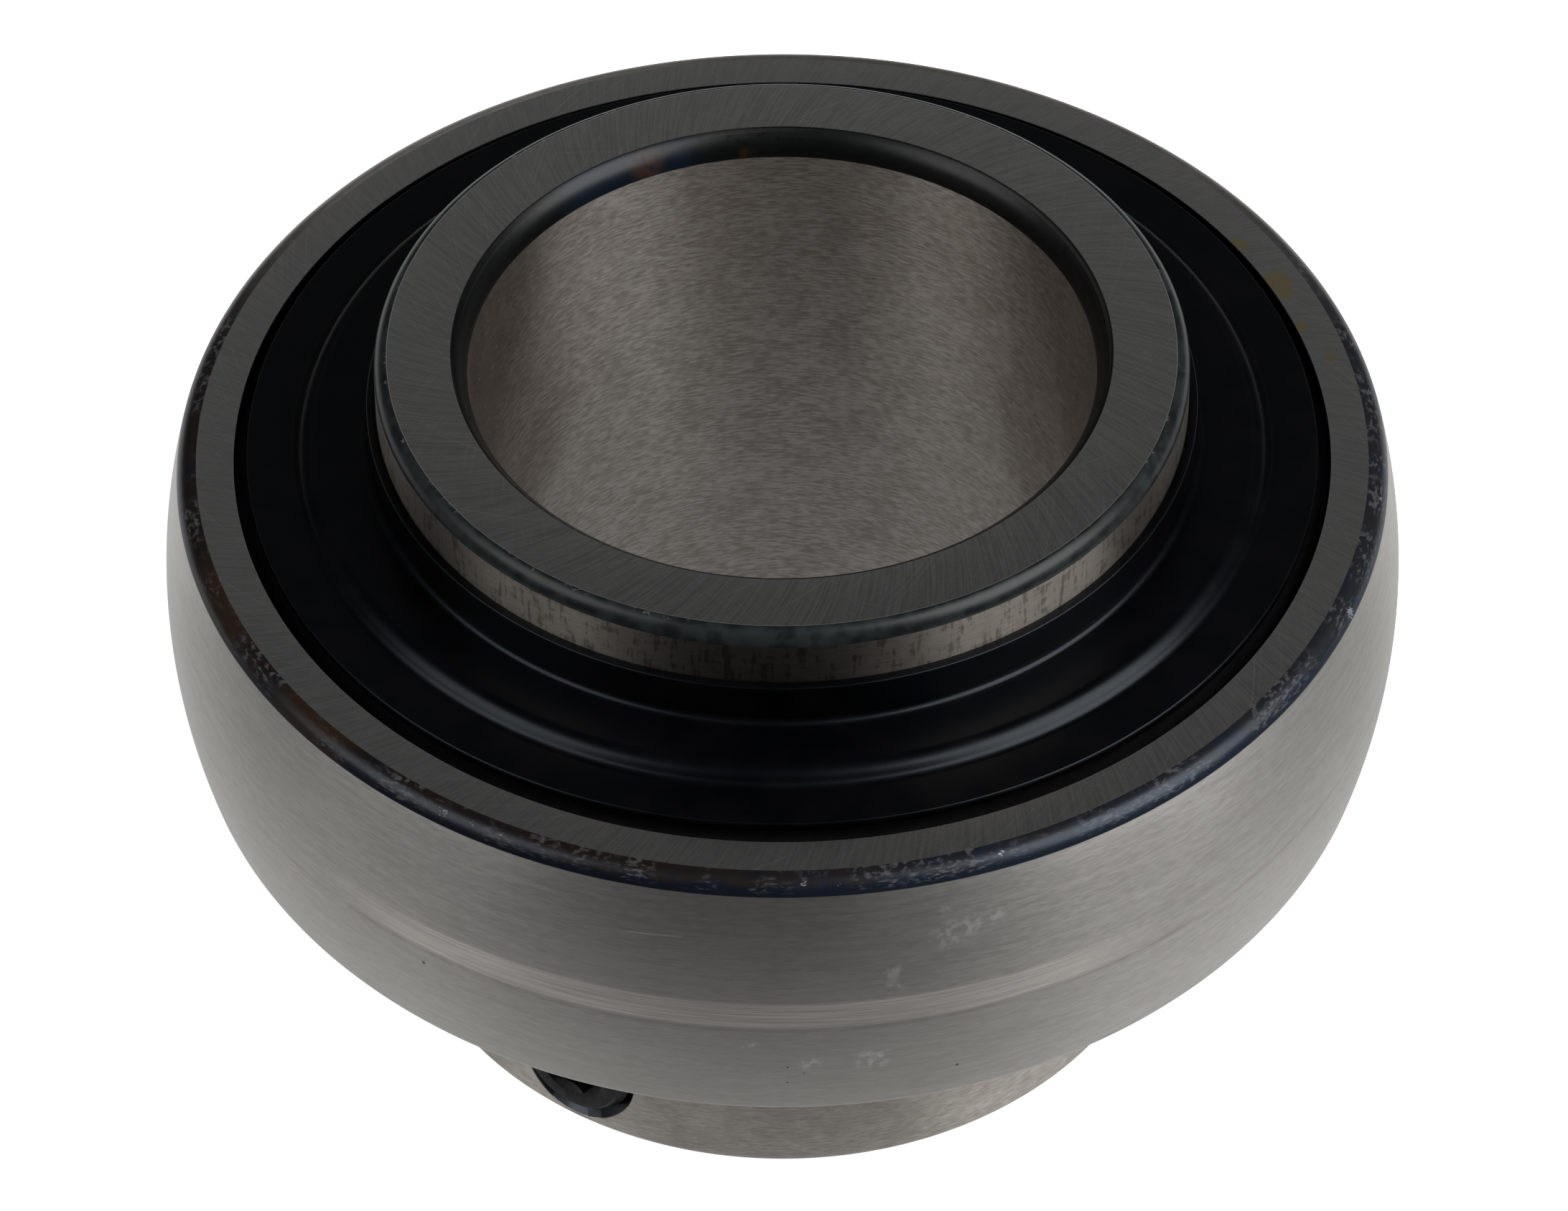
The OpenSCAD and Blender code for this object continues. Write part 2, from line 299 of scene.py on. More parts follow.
inner_ring = draw_outline("inner_ring_turned", inner_outline, lift=ball_plane)
turn_on_lathe(inner_ring)
soften(inner_ring, 0.06)
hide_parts("inner_ring")
print("inner ring:", len(inner_ring.data.polygons), "faces")

# %% [markdown]
# Two threaded holes cross the wall of the long side. A drill leaves a round hole and a
# countersink widens its mouth at 45 degrees. Where that cone meets the round ring it makes the
# lens-shaped chamfer that the photograph shows beside the screw. The cutter is turned on the
# lathe too, then laid along X and swung round to the screw's angle.

# %% Screw holes
screw_height = 5.6
screw_angles = (238, 358)
screw_hole_r = 4.0
mouth_low = 25.139
cutter_start = 15.0
cutter_end = 28.0


def lay_along(piece, turn, height, out=0.0):
    """Lays what stands on Z along the screw's axis, and keeps its place in its mesh."""
    select_only(piece)
    across = math.radians(turn)
    piece.rotation_euler = (0, math.pi / 2, across)
    piece.location = (out * math.cos(across) * MM, out * math.sin(across) * MM, height * MM)
    bpy.ops.object.transform_apply(location=True, rotation=True, scale=True)
    return piece


for turn in screw_angles:
    mouth = [
        (0, cutter_start),
        (screw_hole_r, cutter_start),
        (screw_hole_r, mouth_low),
        (screw_hole_r + cutter_end - mouth_low, cutter_end),
        (0, cutter_end),
    ]
    cutter = turn_on_lathe(draw_outline("screw_hole_cutter", mouth), steps=96)
    lay_along(cutter, turn, screw_height)
    cut(inner_ring, cutter)
shade(inner_ring)
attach(inner_ring, "inner")
print("inner ring with its holes:", len(inner_ring.data.polygons), "faces")

# %% [markdown]
# ## Flingers
#
# A flinger is a disc of thin black sheet that is pressed on the inner ring and turns with it. It
# throws dirt outwards before the seal meets it. From the collar on the ring, the sheet bends
# outwards, dishes, steps down and ends in a flat band just over the seal. A single line with a
# Solidify modifier would give the sheet its thickness too. Here both sides are drawn from the
# same bend centres, as a press leaves them: along the top, and back along the underside.

# %% Flingers
sheet = 0.6
foot_r = inner_r + 1.1
bend_r = 0.5
step_turn = 53.13
step_r = 0.7625
edge_r = 0.12
rim_r = 34.3
rim_under = half_width + 0.05
rim_top = rim_under + sheet
dish_top = rim_top + 0.85
collar_top = dish_top + 2.95
step_out_r = 31.55
step_in_r = 29.85
collar_r = inner_r + sheet

high = (foot_r, dish_top + bend_r)
near = (step_in_r, dish_top - sheet - step_r)
far = (step_out_r, rim_top + step_r)
edge_of_collar = arc((collar_r - edge_r, collar_top - edge_r), edge_r, 90, 0, 4)
edge_of_rim = arc((rim_r - edge_r, rim_top - edge_r), edge_r, 90, 0, 4)

sheet_outline = [(inner_r, collar_top)] + edge_of_collar
sheet_outline += arc(high, bend_r, 180, 270, 8)
sheet_outline += arc(near, step_r + sheet, 90, 90 - step_turn, 8)
sheet_outline += arc(far, step_r, 270 - step_turn, 270, 8)[1:]
sheet_outline += edge_of_rim + [(rim_r, rim_under)]
sheet_outline += arc(far, step_r + sheet, 270, 270 - step_turn, 8)
sheet_outline += arc(near, step_r, 90 - step_turn, 90, 8)[1:]
sheet_outline += arc(high, bend_r + sheet, 270, 180, 8)

for name, points in (
    ("upper_flinger", sheet_outline),
    ("lower_flinger", mirrored(sheet_outline)),
):
    flinger = draw_outline(name + "_pressed", points, lift=ball_plane)
    turn_on_lathe(flinger)
    soften(flinger, 0.03, angle=40)
    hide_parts(name)
    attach(flinger, "inner")
    print(flinger.name, len(flinger.data.polygons), "faces")

# %% [markdown]
# ## Grub screws
#
# A grub screw has no head. It is a threaded pin with a hexagon socket in one end and a cup point
# in the other, whose sharp rim bites into the shaft. It is made as a shop makes it: the blank is
# turned, the thread is cut, then the socket. The first screw is made upright, with its point at
# the origin.

# %% Grub screws
pitch = 1.0
screw_r = 3.95
screw_tip = 20.2
screw_end = 26.3
screw_len = screw_end - screw_tip
screw_chamfer = 0.6
cup_r = 1.9
cup_depth = 0.8
root_r = 3.38
groove_out = 4.03
groove_floor = 0.06
groove_mouth = 0.48
thread_below = 1.5
thread_turns = 10
thread_steps = 64
socket_w = 4.0
socket_depth = 3.0
socket_turn = 22
socket_lead = 0.15
socket_r = socket_w / 2 / math.cos(math.radians(30))

blank_outline = [
    (0, cup_depth),
    (cup_r, 0),
    (screw_r - screw_chamfer, 0),
    (screw_r, screw_chamfer),
    (screw_r, screw_len - screw_chamfer),
    (screw_r - screw_chamfer, screw_len),
    (0, screw_len),
]
screw = turn_on_lathe(draw_outline("grub_screw_1_cut", blank_outline), steps=96)
print("screw blank:", len(screw.data.polygons), "faces")

# %% [markdown]
# The thread is the part worth doing well. A bumpy material would look smooth in outline, so it is
# cut for real. A V-shaped outline goes up one pitch for each turn of a Screw modifier, which gives
# the shape of the groove, and that is cut out of the blank. The groove runs out through the
# chamfers at both ends, as on a real screw.

# %% The thread
groove_outline = [
    (root_r, -groove_floor),
    (groove_out, -groove_mouth),
    (groove_out, groove_mouth),
    (root_r, groove_floor),
]
thread = draw_outline("thread_groove", groove_outline, lift=-thread_below * pitch)
helix = thread.modifiers.new("Helix", "SCREW")
helix.angle = math.tau
helix.screw_offset = pitch * MM
helix.iterations = thread_turns
helix.steps = thread_steps
helix.render_steps = thread_steps
helix.use_merge_vertices = False
bpy.ops.object.modifier_apply(modifier=helix.name)
bpy.ops.object.mode_set(mode="EDIT")
bpy.ops.mesh.select_all(action="SELECT")
bpy.ops.mesh.remove_doubles(threshold=SAME_SPOT)
bpy.ops.mesh.select_mode(type="EDGE")
bpy.ops.mesh.select_all(action="DESELECT")
bpy.ops.mesh.select_non_manifold()
bpy.ops.mesh.edge_face_add()
bpy.ops.mesh.select_mode(type="VERT")
bpy.ops.mesh.select_all(action="SELECT")
bpy.ops.mesh.normals_make_consistent(inside=False)
bpy.ops.object.mode_set(mode="OBJECT")
print("thread groove:", len(thread.data.polygons), "faces")
cut(screw, thread)

# %% [markdown]
# The socket is a six-sided prism with a small cone at its mouth, so that the key finds its way in.
# The second screw is a copy with its own mesh. Only then is each laid along its own hole.

# %% The socket, and both screws in their holes
bpy.ops.object.select_all(action="DESELECT")
bpy.ops.mesh.primitive_cylinder_add(
    vertices=6,
    radius=socket_r * MM,
    depth=2 * socket_depth * MM,
    location=(0, 0, screw_len * MM),
    rotation=(0, 0, math.radians(socket_turn + 30)),
)
cut(screw, bpy.context.object)
lead_depth = socket_r + socket_lead - socket_w / 2
bpy.ops.object.select_all(action="DESELECT")
bpy.ops.mesh.primitive_cone_add(
    vertices=96,
    radius1=socket_w / 2 * MM,
    radius2=(socket_w / 2 + 2 * lead_depth) * MM,
    depth=2 * lead_depth * MM,
    location=(0, 0, screw_len * MM),
)
cut(screw, bpy.context.object)
soften(screw, 0.03, angle=28)

select_only(screw)
bpy.ops.object.duplicate()
second = bpy.context.object
second.name = "grub_screw_2_cut"
for number, (piece, turn) in enumerate(zip((screw, second), screw_angles), start=1):
    lay_along(piece, turn, screw_height, out=screw_tip)
    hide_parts("grub_screw_%d" % number)
    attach(piece, "screw_%d" % number)
    print(piece.name, len(piece.data.polygons), "faces")

# %% [markdown]
# ## Writing shader maths
#
# A material's pattern is a sum of noises, masks and distances. As nodes, each plus sign is one
# Math node, which soon hides the sum. The small class below wraps a socket, so that an ordinary
# expression such as `1 - mask * 0.4` adds those nodes by itself.

# %% Sockets that can be used in sums
class Value:
    """One output socket. Each operator on it adds a Math node."""

    def __init__(self, graph, socket):
        self.graph = graph
        self.socket = socket

    def maths(self, operation, *others):
        return self.graph.maths(operation, self, *others)

    def __add__(self, other):
        return self.maths("ADD", other)

    __radd__ = __add__

    def __sub__(self, other):
        return self.maths("SUBTRACT", other)

    def __rsub__(self, other):
        return self.graph.maths("SUBTRACT", other, self)

    def __mul__(self, other):
        return self.maths("MULTIPLY", other)

    __rmul__ = __mul__

    def __truediv__(self, other):
        return self.maths("DIVIDE", other)

    def __rtruediv__(self, other):
        return self.graph.maths("DIVIDE", other, self)

    def __abs__(self):
        return self.maths("ABSOLUTE")

    def root(self):
        return self.maths("SQRT")

    def rises(self, low, high):
        """0 below low, 1 above high, and a smooth slope between."""
        settings = {"interpolation_type": "SMOOTHSTEP", "clamp": True}
        return self.graph.node(
            "ShaderNodeMapRange", settings, {"Value": self, "From Min": low, "From Max": high}
        )

    def falls(self, low, high):
        """1 below low, 0 above high."""
        return 1 - self.rises(low, high)

    def between(self, low, high, soft):
        """1 between two values, with a soft slope at both."""
        return self.rises(low - soft, low + soft) * self.falls(high - soft, high + soft)


class Graph:
    """The nodes of a material or of the world."""

    def __init__(self, tree):
        self.tree = tree
        self.tree.nodes.clear()

    def node(self, kind, settings=None, inputs=None, output=0):
        """Adds a node: its settings first, then the value or the link of each socket."""
        made = self.tree.nodes.new(kind)
        for name, value in (settings or {}).items():
            setattr(made, name, value)
        for name, value in (inputs or {}).items():
            if isinstance(value, Value):
                self.tree.links.new(value.socket, made.inputs[name])
            else:
                made.inputs[name].default_value = value
        return Value(self, made.outputs[output]) if made.outputs else None

    def maths(self, operation, *values):
        return self.node("ShaderNodeMath", {"operation": operation}, dict(enumerate(values)))

    def vector(self, x, y, z):
        return self.node("ShaderNodeCombineXYZ", {}, {"X": x, "Y": y, "Z": z})

    def part(self, vector, axis):
        return self.node("ShaderNodeSeparateXYZ", {}, {"Vector": vector}, axis)

    def noise(self, vector, detail=2.0, roughness=0.5):
        inputs = {"Vector": vector, "Scale": 1.0, "Detail": detail, "Roughness": roughness}
        return self.node("ShaderNodeTexNoise", {}, inputs)

    def blend(self, factor, below, above):
        """Goes from one colour to another as the factor goes from 0 to 1."""
        return self.node(
            "ShaderNodeMix", {"data_type": "RGBA"}, {0: factor, 6: below, 7: above}, output=2
        )

    def mix(self, factor, below, above):
        """Goes from one shader to another."""
        return self.node("ShaderNodeMixShader", {}, {0: factor, 1: below, 2: above})


print("shader maths is ready")

# %% [markdown]
# ## A finish
#
# Every finish starts from the place of a point on the piece, in millimetres: its distance from
# the shaft's axis and its height over the plane of the balls. A bearing's surfaces are turned and
# ground, so nearly all their marks run round the axis or across the faces, and both are easy to
# write with those two numbers.

# %% A finish and its place on the piece
def colour(red, green, blue):
    return (red, green, blue, 1.0)


class Finish(Graph):
    """A material in the bearing's own measures."""

    def __init__(self, name):
        self.material = bpy.data.materials.new(name)
        self.material.use_nodes = True
        super().__init__(self.material.node_tree)
        spot = self.node("ShaderNodeTexCoord", output="Object")
        self.x = self.part(spot, "X") / MM
        self.y = self.part(spot, "Y") / MM
        self.z = self.part(spot, "Z") / MM
        self.radius = (self.x * self.x + self.y * self.y).root()
        self.height = self.z - ball_plane
        self.side = abs(self.height)

    def spots(self, size, detail=2.0):
        """Even mottling with no direction."""
        return self.noise(self.vector(self.x / size, self.y / size, self.z / size), detail)

    def round_grain(self, length, width, detail=2.0):
        """Streaks that run round the axis, as a wheel or a tool leaves them on a wall."""
        return self.noise(self.vector(self.x / length, self.y / length, self.z / width), detail)

    def face_grain(self, lean, width, length, detail=2.0):
        """Streaks on a flat face that lean away from the radius by a share of the turn."""
        swing = self.radius * (lean / inner_r)
        cosine = swing.maths("COSINE")
        sine = swing.maths("SINE")
        fine = inner_r / width
        east = (self.x * cosine - self.y * sine) / self.radius * fine
        north = (self.x * sine + self.y * cosine) / self.radius * fine
        return self.noise(self.vector(east, north, self.radius / length), detail)

    def near(self, place, reach):
        """1 at a place, in millimetres, falling to 0 at its reach."""
        here = self.vector(self.x, self.y, self.height)
        away = self.node("ShaderNodeVectorMath", {"operation": "DISTANCE"}, {0: here, 1: place}, 1)
        return away.falls(reach * 0.3, reach)

    def near_any(self, places):
        """Adds up marks, each given as a place and its reach."""
        return sum(self.near(place, reach) for place, reach in places)

    def bump(self, height, strength, distance):
        inputs = {"Height": height, "Strength": strength, "Distance": distance * MM}
        return self.node("ShaderNodeBump", {}, inputs)

    def skin(self, **inputs):
        """One Principled shader. Its sockets are named with _ for a space."""
        named = {name.replace("_", " "): value for name, value in inputs.items()}
        return self.node("ShaderNodeBsdfPrincipled", {}, named)

    def put_on(self, pieces, shader):
        """Ends the material with a shader and gives it to pieces."""
        self.node("ShaderNodeOutputMaterial", {}, {"Surface": shader})
        for piece in pieces:
            piece.data.materials.clear()
            piece.data.materials.append(self.material)
        print(self.material.name, "has", len(self.tree.nodes), "nodes")


print("finishes start from the radius and the height")

# %% [markdown]
# ## Ground steel
#
# Hardened bearing steel is ground, so it is satin, and the wheel's fine streaks run round the
# axis. Such streaks scatter light up and down far more than sideways, which draws a lamp out into
# a soft upright band. The shader's Anisotropic value does this, and it follows the ring, because
# without a tangent of its own the shader goes round the piece's Z axis.
#
# The walls, the flat faces and the rounded corners differ so much that each gets its own shader,
# and masks mix them. The walls come first. A band round the middle of the sphere is rubbed
# lighter, most of all in front. The step that holds the seal is painted nearly black: painted
# shade in the narrow gap round the flinger's rim.

# %% Walls of the outer ring
ring = Finish("ground outer ring")
ring_fine = ring.round_grain(0.9, 0.11, 3.0)
ring_broad = ring.round_grain(5.0, 0.35)
ring_cloud = ring.spots(9.0)
ring_grain = ring_fine * 0.5 + ring_broad * 0.3 + ring_cloud * 0.2
ring_wall = ring.blend(
    ring_grain.rises(0.35, 0.65), colour(0.50, 0.482, 0.455), colour(0.61, 0.592, 0.562)
)

rubbed_turn = math.radians(-95)
rubbed_side = abs(ring.x * math.cos(rubbed_turn) + ring.y * math.sin(rubbed_turn)) / sphere_r
rubbed = abs(ring.height + 0.03).falls(0.9, 1.25) * rubbed_side.rises(0.74, 0.94)
rubbed = rubbed * (0.35 + ring.round_grain(7.0, 0.1).rises(0.35, 0.65) * 0.65)
ring_wall = ring.blend(rubbed, ring_wall, colour(0.92, 0.87, 0.82))
under_band = ring.height.between(-1.55, -1.3, 0.15) * ring.spots(4.0).rises(0.35, 0.6)
ring_wall = ring.blend(under_band * 0.4, ring_wall, colour(0.32, 0.285, 0.26))
# Painted shade: the seat's wall in the gap round the flinger's rim is painted nearly black.
painted_seat_shade = ring.radius.falls(seat_r + 0.15, seat_r + 0.3) * ring.side.rises(plate_in, plate_out)
ring_wall = ring.blend(painted_seat_shade, ring_wall, colour(0.012, 0.012, 0.013))
print("outer ring's wall is ready")

# %% [markdown]
# Some marks are single events, so they sit where the photograph shows them: a long thin scratch,
# a few pale scuffs where the grain is rubbed, and dark specks no wider than a hair.

# %% Marks on the sphere
scratch = abs(ring.height - 6.58 - ring.x * 0.0625).falls(0.03, 0.1)
scratch = scratch * ring.x.between(-9.6, -6.3, 0.3) * ring.y.falls(-1, 0)
scuffs = ring.near_any((
    ((10.1, -38.3, 5.6), 1.6),
    ((11.6, -37.9, 5.9), 1.1),
    ((13.0, -37.4, 6.1), 0.9),
    ((9.9, -38.2, 7.4), 0.6),
    ((6.72, -39.30, 3.18), 0.9),
    ((6.75, -39.36, 1.95), 0.8),
    ((5.45, -39.35, -4.67), 1.5),
    ((1.58, -39.69, -4.74), 0.9),
    ((-2.2, -39.9, -2.8), 0.7),
)) * ring.spots(0.55, 4.0).rises(0.42, 0.62)
specks = ring.near_any((
    ((0.2, -39.68, -5.08), 0.12),
    ((1.22, -39.57, -5.74), 0.1),
    ((0.19, -39.42, -6.77), 0.1),
    ((10.75, -37.92, -6.85), 0.16),
    ((-22.47, -32.99, -2.67), 0.2),
))
ring_wall = ring.blend(scratch * 0.6, ring_wall, colour(0.95, 0.93, 0.90))
ring_wall = ring.blend(scuffs * 0.55, ring_wall, colour(0.95, 0.93, 0.90))
ring_wall = ring.blend(specks * 0.8, ring_wall, colour(0.05, 0.045, 0.04))
ring_wall_skin = ring.skin(
    Base_Color=ring_wall,
    Metallic=1.0,
    Roughness=0.31 + ring_grain * 0.1,
    Anisotropic=0.8,
    Anisotropic_Rotation=0.25,
    Normal=ring.bump(ring_fine, 0.12, 0.004),
)
print("sphere marks are ready")

# %% [markdown]
# A flat face is ground by a wheel that sweeps across it, and keeps fine slanting lines. A straight
# noise would cross the ring as a plank's grain does. So the noise is swung by an angle that grows
# with the radius, which bends its streaks into slanting arcs, and two such layers cross. The face
# is smoother than the wall and has lines both ways, so it is left without the Anisotropic value.
# A few yellow stains lie where the photograph has them.

# %% Faces of the outer ring
ring_hatch = ring.face_grain(0.25, 0.10, 3.0, 3.0) * 0.8 + ring.face_grain(-0.9, 0.1, 1.6) * 0.2
ring_cut = ring.face_grain(1.2, 0.10, 7.0).rises(0.60, 0.70)
ring_face = ring.blend(
    ring_hatch.rises(0.36, 0.60), colour(0.38, 0.376, 0.372), colour(0.45, 0.446, 0.44)
)
ring_face = ring.blend(ring_cut * 0.3, ring_face, colour(0.75, 0.74, 0.73))
stains = ring.near_any((
    ((35.6, 7.9, 10.5), 0.6),
    ((33.9, 10.8, 10.5), 0.7),
    ((32.43, 15.16, 10.5), 1.5),
    ((32.9, 14.0, 10.5), 0.9),
    ((30.05, 18.74, 10.5), 1.0),
))
stains = (stains + ring.spots(0.6, 3.0) * 0.8).rises(0.8, 0.95)
ring_face = ring.blend(stains * 0.75, ring_face, colour(0.50, 0.41, 0.19))
ring_face_skin = ring.skin(
    Base_Color=ring_face,
    Metallic=1.0,
    Roughness=0.20 + ring_hatch * 0.1,
    Normal=ring.bump(ring_hatch, 0.08, 0.004),
)
print("outer ring's faces are ready")

# %% [markdown]
# No wheel reaches the corners, so they keep the thin dark skin of hardening: black-blue, and brown
# towards the face. That skin is not bare metal, so this shader is not metallic, apart from the
# chips, where knocks have opened it. The large chips are listed one by one, and a noise gives each
# its ragged edge.

# %% Corners of the outer ring
towards_face = ring.side.rises(9.7, 10.3) * 0.5
towards_face = towards_face + ring.round_grain(1.6, 0.5, 4.0).rises(0.3, 0.7) * 0.5
bluer = ring.x.rises(-12, 20)
corner_low = ring.blend(bluer, colour(0.003, 0.004, 0.008), colour(0.006, 0.010, 0.018))
corner_high = ring.blend(bluer, colour(0.008, 0.005, 0.004), colour(0.010, 0.010, 0.012))
corner_skin = ring.blend(towards_face.rises(0.35, 0.75), corner_low, corner_high)
bronze = ring.near_any((((-35.2, -14.4, 9.9), 6.0), ((-29.0, -24.5, 10.2), 5.0)))
corner_skin = ring.blend(bronze * 0.7, corner_skin, colour(0.020, 0.010, 0.004))
rubbed_corner = ring.round_grain(0.5, 0.12, 4.0).rises(0.48, 0.66)
rubbed_corner = rubbed_corner * ring.spots(4.0).rises(0.42, 0.62)
rubbed_corner = rubbed_corner * ring.side.rises(9.6, 9.9)
corner_skin = ring.blend(rubbed_corner * 0.45, corner_skin, colour(0.11, 0.11, 0.115))
chips = ring.near_any((
    ((-22.77, -30.30, 9.9), 0.35),
    ((-20.73, -32.07, 9.9), 0.8),
    ((-18.9, -33.1, 10.0), 0.6),
    ((-17.13, -33.90, 9.9), 0.9),
    ((-15.8, -34.8, 9.8), 0.5),
    ((-2.3, -38.2, 10.0), 0.45),
    ((-1.8, -38.2, 9.95), 0.4),
    ((1.2, -38.3, 10.1), 0.4),
    ((3.4, -38.2, 9.9), 0.5),
    ((13.2, -35.9, 10.1), 0.5),
    ((13.9, -35.7, 9.9), 0.4),
    ((19.15, -32.75, 9.9), 0.7),
    ((20.1, -32.3, 10.1), 0.5),
    ((23.47, -30.03, 9.9), 0.5),
    ((24.33, -29.36, 9.9), 0.5),
    ((28.68, -23.96, 9.9), 0.5),
    ((35.67, -14.98, 9.9), 0.7),
    ((38.0, -5.0, 10.0), 0.5),
))
stroke = ring.noise(ring.vector(ring.x / 0.25, ring.y / 0.12, ring.z / 0.12), 4.0)
chips = (chips * 0.45 + stroke).rises(0.86, 1.0)
corner_skin = ring.blend(chips * 0.7, corner_skin, colour(0.27, 0.27, 0.28))
ring_corner_skin = ring.skin(
    Base_Color=corner_skin,
    Metallic=chips * 0.3,
    Roughness=0.26 + ring.spots(0.6, 3.0) * 0.14,
    Specular_IOR_Level=0.26,
    Specular_Tint=colour(0.74, 0.86, 1.0),
    Normal=ring.bump(rubbed_corner, 0.2, 0.01),
)
print("outer ring's corners are ready")

# %% [markdown]
# The three skins could go on as three materials, each on its own faces, but the borders would be
# as sharp as the mesh. Masks on the radius and the height give a narrow soft border, and take
# their numbers from the section. At the back, the dark corner fades into the lighter wall skin: a
# painted reflection of the light that the corner mirrors there.

# %% The outer ring puts its finish on
FACE_EDGE = 0.04
on_ring_face = ring.radius.falls(corner_c - FACE_EDGE, corner_c) * ring.side.rises(
    half_width - 2 * FACE_EDGE, half_width - FACE_EDGE
)
sphere_stops = (9.42, 9.5)
# Painted reflection: at the back, the dark corner skin gives way to the lighter wall skin.
painted_back_reflection = ring.y.rises(8, 26)
on_ring_corner = ring.radius.rises(corner_c - FACE_EDGE, corner_c)
on_ring_corner = on_ring_corner * ring.height.rises(*sphere_stops)
on_ring_corner = on_ring_corner * (1 - painted_back_reflection * 0.75)
ring_shader = ring.mix(on_ring_face, ring_wall_skin, ring_face_skin)
ring_shader = ring.mix(on_ring_corner, ring_shader, ring_corner_skin)
ring.put_on([outer_ring], ring_shader)

# %% [markdown]
# The inner ring has the same three kinds of surface. Its short collar above the flinger was never
# ground as finely: it is brownish, with dark upright marks. The bore is the lightest wall. The
# long side is a little rusty towards its end, and the cones of the screw holes are dark. A hole's
# own axis gives their mask: the distance beside it and above it, on its side of the ring.

# %% Walls of the inner ring
tube = Finish("ground inner ring")
tube_fine = tube.round_grain(0.8, 0.08, 3.0)
tube_cloud = tube.spots(6.0)
tube_grain = tube_fine * 0.7 + tube_cloud * 0.3
in_bore = tube.radius.falls(bore_r + 0.3, bore_r + 0.6)
on_collar = tube.height.rises(dish_top, collar_top)
outside_colour = tube.blend(
    tube_grain.rises(0.35, 0.65), colour(0.34, 0.315, 0.285), colour(0.52, 0.49, 0.45)
)
bore_grain = tube.round_grain(0.75, 0.13, 3.0) * 0.8 + tube.spots(2.5) * 0.2
bore_colour = tube.blend(
    bore_grain.rises(0.34, 0.66), colour(0.40, 0.36, 0.325), colour(0.68, 0.64, 0.60)
)
tube_wall = tube.blend(in_bore, outside_colour, bore_colour)
upright = tube.noise(tube.vector(tube.x / 0.3, tube.y / 0.3, tube.z / 2.2), 3.0)
blots = tube.noise(tube.vector(tube.x / 1.1, tube.y / 1.1, tube.z / 0.5), 3.0)
rust_top = -11
rust = tube.spots(1.3, 5.0).rises(0.45, 0.65) * (1 - in_bore)
rust = rust * tube.height.falls(rust_top - 1, rust_top)
tube_wall = tube.blend(rust * 0.25, tube_wall, colour(0.27, 0.225, 0.19))
collar_marks = (upright * 0.6 + blots * 0.4).rises(0.5, 0.62)
on_collar = on_collar * (1 - in_bore)
tube_wall = tube.blend(on_collar * 0.75, tube_wall, colour(0.16, 0.14, 0.12))
tube_wall = tube.blend(collar_marks * on_collar * 0.6, tube_wall, colour(0.06, 0.05, 0.042))
mouth_r = 5.0
near_holes = []
for turn in screw_angles:
    cosine = math.cos(math.radians(turn))
    sine = math.sin(math.radians(turn))
    beside = tube.y * cosine - tube.x * sine
    above = tube.z - screw_height
    away = (beside * beside + above * above).root()
    this_side = (tube.x * cosine + tube.y * sine).rises(0, 1)
    near_holes.append(away.falls(mouth_r - 0.1, mouth_r) * this_side)
in_hole = sum(near_holes) * tube.radius.between(bore_r + 0.4, inner_r - 0.04, 0.02)
tube_wall = tube.blend(in_hole, tube_wall, colour(0.055, 0.06, 0.07))
tube_wall_skin = tube.skin(
    Base_Color=tube_wall,
    Metallic=1.0,
    Roughness=0.31 - in_bore * 0.10 + tube_grain * 0.1,
    Anisotropic=0.94,
    Anisotropic_Rotation=0.25,
    Normal=tube.bump(tube_fine, 0.15, 0.004),
)
print("inner ring's walls are ready")

# %% [markdown]
# The inner ring's faces are ground like the outer ring's, with more long cuts. A thin line at the
# edge where a face ends at the outer corner is painted bright: a painted highlight.

# %% Faces of the inner ring
rim_start = inner_r - rim_corner[0]
bore_stop = bore_r + bore_corner[0]
tube_hatch = tube.face_grain(0.5, 0.12, 4.0, 3.0) * 0.8 + tube.face_grain(-1.1, 0.12, 3.0) * 0.2
tube_cut = tube.face_grain(1.5, 0.07, 8.0).rises(0.62, 0.70)
tube_cut = tube_cut + tube.face_grain(-1.8, 0.08, 6.0).rises(0.66, 0.74)
tube_face = tube.blend(
    tube_hatch.rises(0.36, 0.60), colour(0.345, 0.339, 0.333), colour(0.45, 0.444, 0.437)
)
tube_face = tube.blend(tube_cut * 0.5, tube_face, colour(0.75, 0.74, 0.73))
# Painted highlight: a thin bright line along the face's outer edge.
painted_rim_highlight = tube.radius.rises(rim_start - 0.08, rim_start - 0.03)
tube_face = tube.blend(painted_rim_highlight, tube_face, colour(0.95, 0.95, 0.94))
tube_face_skin = tube.skin(
    Base_Color=tube_face,
    Metallic=1.0,
    Roughness=0.20 + tube_hatch * 0.1,
    Normal=tube.bump(tube_hatch, 0.08, 0.004),
)
print("inner ring's faces are ready")

# %% [markdown]
# The outer corner is dark green-blue with a few small chips. The corner of the bore is black, with
# the fine ridges of the turning tool, which run round at a steady radius. At one place it has the
# blue and gold of temper colours, where the steel once ran hot.

